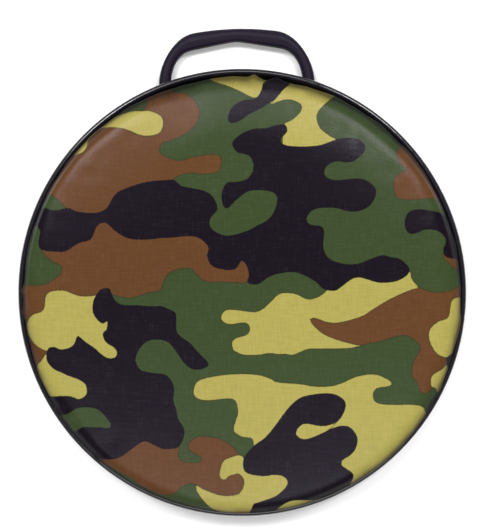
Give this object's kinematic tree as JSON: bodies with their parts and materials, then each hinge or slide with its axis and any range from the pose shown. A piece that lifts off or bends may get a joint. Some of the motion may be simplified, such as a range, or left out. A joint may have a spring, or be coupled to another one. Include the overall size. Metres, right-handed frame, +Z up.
{
  "type": "padded disc seat with handle",
  "caption": "Round upholstered seat pad screwed into a shallow plastic tray with a rolled rim and a fixed carry handle.",
  "frame": {"origin": "middle of the tray's centre foot, on the surface that the seat lies on", "axes": "+Z up out of the padded face, along the disc's axis; +Y towards the carry handle; +X to the right as seen from above with the handle at the top"},
  "size_m": [0.3999, 0.4365, 0.052],
  "materials": {
    "tray_plastic": "gloss",
    "handle_plastic": "satin",
    "screw_steel": "satin",
    "staple_steel": "satin",
    "board_wood": "matte",
    "foam": "matte",
    "printed_fabric": "satin"
  },
  "bodies": {
    "root": {"base_tray": "tray_plastic", "handle": "handle_plastic", "handle_screws": "screw_steel", "seat_board": "board_wood", "foam_pad": "foam", "cover": "printed_fabric", "cover_staples": "staple_steel", "board_screws": "screw_steel"}
  },
  "joints": []
}
